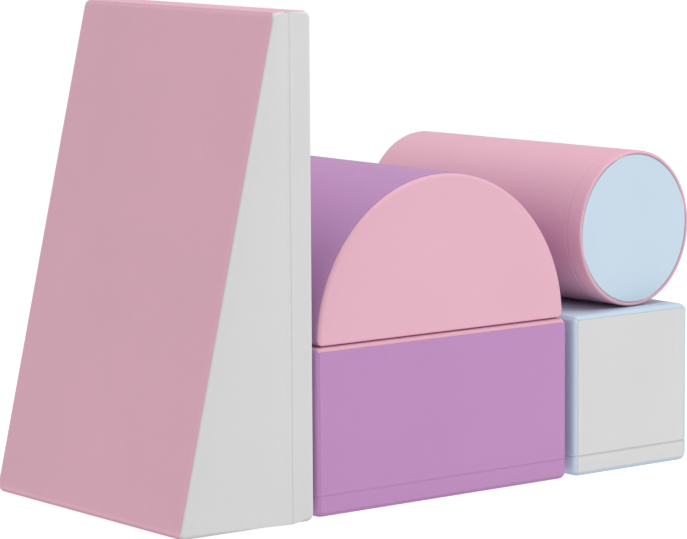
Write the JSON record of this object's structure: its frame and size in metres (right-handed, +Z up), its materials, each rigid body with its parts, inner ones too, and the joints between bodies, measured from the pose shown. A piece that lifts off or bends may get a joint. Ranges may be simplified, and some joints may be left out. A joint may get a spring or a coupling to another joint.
{
  "type": "soft play foam set",
  "caption": "Row of covered foam play modules: a ramp wedge on end, a block carrying a half-round, and a narrow block carrying a roller.",
  "frame": {"origin": "centre of the whole row's footprint, on the floor", "axes": "+X along the row from the wedge to the narrow block, +Y from the fronts to the backs, +Z up"},
  "size_m": [1.2402, 0.6468, 0.891],
  "materials": {
    "foam": "matte",
    "pink_cover": "satin",
    "purple_cover": "satin",
    "white_cover": "satin",
    "blue_cover": "satin",
    "zip_tape": "matte",
    "zip_metal": "satin"
  },
  "bodies": {
    "low_block": {"low_block_core": "foam", "low_block_base_panel": "purple_cover", "low_block_front_band": "purple_cover", "low_block_back_band": "purple_cover", "low_block_left_band": "purple_cover", "low_block_right_band": "purple_cover", "low_block_front_panel": "purple_cover", "low_block_back_panel": "purple_cover", "low_block_left_panel": "purple_cover", "low_block_right_panel": "purple_cover", "low_block_top_panel": "pink_cover", "low_block_zip_chain": "zip_tape"},
    "wedge": {"wedge_core": "foam", "wedge_base_panel": "white_cover", "wedge_front_band": "white_cover", "wedge_back_band": "white_cover", "wedge_thick_end_panel": "pink_cover", "wedge_thin_end_panel": "pink_cover", "wedge_slope_panel": "pink_cover", "wedge_front_panel": "white_cover", "wedge_back_panel": "white_cover", "wedge_zip_chain": "zip_tape"},
    "half_round": {"half_round_core": "foam", "half_round_wrap": "purple_cover", "half_round_front_panel": "pink_cover", "half_round_back_panel": "pink_cover", "half_round_base_panel": "purple_cover", "half_round_zip_chain": "zip_tape"},
    "narrow_block": {"narrow_block_core": "foam", "narrow_block_base_panel": "blue_cover", "narrow_block_front_band": "white_cover", "narrow_block_back_band": "white_cover", "narrow_block_left_band": "blue_cover", "narrow_block_right_band": "blue_cover", "narrow_block_front_panel": "white_cover", "narrow_block_back_panel": "white_cover", "narrow_block_left_panel": "blue_cover", "narrow_block_right_panel": "blue_cover", "narrow_block_top_panel": "blue_cover", "narrow_block_zip_chain": "zip_tape"},
    "roller": {"roller_core": "foam", "roller_zip_band": "pink_cover", "roller_wrap": "pink_cover", "roller_front_disc": "blue_cover", "roller_back_disc": "blue_cover", "roller_zip_chain": "zip_tape"},
    "low_block_zip_slider": {"low_block_zip_slider": "zip_metal"},
    "low_block_zip_pull": {"low_block_zip_pull": "zip_metal"},
    "wedge_zip_slider": {"wedge_zip_slider": "zip_metal"},
    "wedge_zip_pull": {"wedge_zip_pull": "zip_metal"},
    "half_round_zip_slider": {"half_round_zip_slider": "zip_metal"},
    "half_round_zip_pull": {"half_round_zip_pull": "zip_metal"},
    "narrow_block_zip_slider": {"narrow_block_zip_slider": "zip_metal"},
    "narrow_block_zip_pull": {"narrow_block_zip_pull": "zip_metal"},
    "roller_zip_slider": {"roller_zip_slider": "zip_metal"},
    "roller_zip_pull": {"roller_zip_pull": "zip_metal"}
  },
  "joints": [
    {"name": "wedge_pull_away", "type": "slide", "parent": "low_block", "child": "wedge", "axis": [-1, 0, 0], "range_m": [0, 0.4]},
    {"name": "half_round_lift", "type": "slide", "parent": "low_block", "child": "half_round", "axis": [0, 0, 1], "range_m": [0, 0.62]},
    {"name": "narrow_block_pull_away", "type": "slide", "parent": "low_block", "child": "narrow_block", "axis": [1, 0, 0], "range_m": [0, 0.4]},
    {"name": "roller_lift", "type": "slide", "parent": "narrow_block", "child": "roller", "axis": [0, 0, 1], "range_m": [0, 0.62]},
    {"name": "wedge_zip_run", "type": "slide", "parent": "wedge", "child": "wedge_zip_slider", "axis": [0, 0, 1], "range_m": [0, 0.709]},
    {"name": "low_block_zip_run", "type": "slide", "parent": "low_block", "child": "low_block_zip_slider", "axis": [1, 0, 0], "range_m": [0, 0.468]},
    {"name": "half_round_zip_run", "type": "slide", "parent": "half_round", "child": "half_round_zip_slider", "axis": [1, 0, 0], "range_m": [0, 0.456]},
    {"name": "narrow_block_zip_run", "type": "slide", "parent": "narrow_block", "child": "narrow_block_zip_slider", "axis": [1, 0, 0], "range_m": [0, 0.169]},
    {"name": "roller_zip_run", "type": "hinge", "parent": "roller", "child": "roller_zip_slider", "pos_m": [0.47285, -0.27835, 0.4478], "axis": [0.0593, -0.9982, 0], "range_deg": [0, 110]},
    {"name": "wedge_zip_pull_swing", "type": "hinge", "parent": "wedge_zip_slider", "child": "wedge_zip_pull", "pos_m": [-0.36388, 0.27175, 0.091], "axis": [0.9998, -0.0192, 0], "range_deg": [0, 180]},
    {"name": "low_block_zip_pull_swing", "type": "hinge", "parent": "low_block_zip_slider", "child": "low_block_zip_pull", "pos_m": [-0.25115, 0.2979, 0.03815], "axis": [0, 0, -1], "range_deg": [0, 180]},
    {"name": "half_round_zip_pull_swing", "type": "hinge", "parent": "half_round_zip_slider", "child": "half_round_zip_pull", "pos_m": [-0.24515, 0.3009, 0.33045], "axis": [0, 0, -1], "range_deg": [0, 180]},
    {"name": "narrow_block_zip_pull_swing", "type": "hinge", "parent": "narrow_block_zip_slider", "child": "narrow_block_zip_pull", "pos_m": [0.35285, 0.2969, 0.03815], "axis": [0, 0, -1], "range_deg": [0, 180]},
    {"name": "roller_zip_pull_swing", "type": "hinge", "parent": "roller_zip_slider", "child": "roller_zip_pull", "pos_m": [0.56924, -0.23441, 0.33002], "axis": [0.0593, -0.9982, 0], "range_deg": [0, 180]}
  ]
}
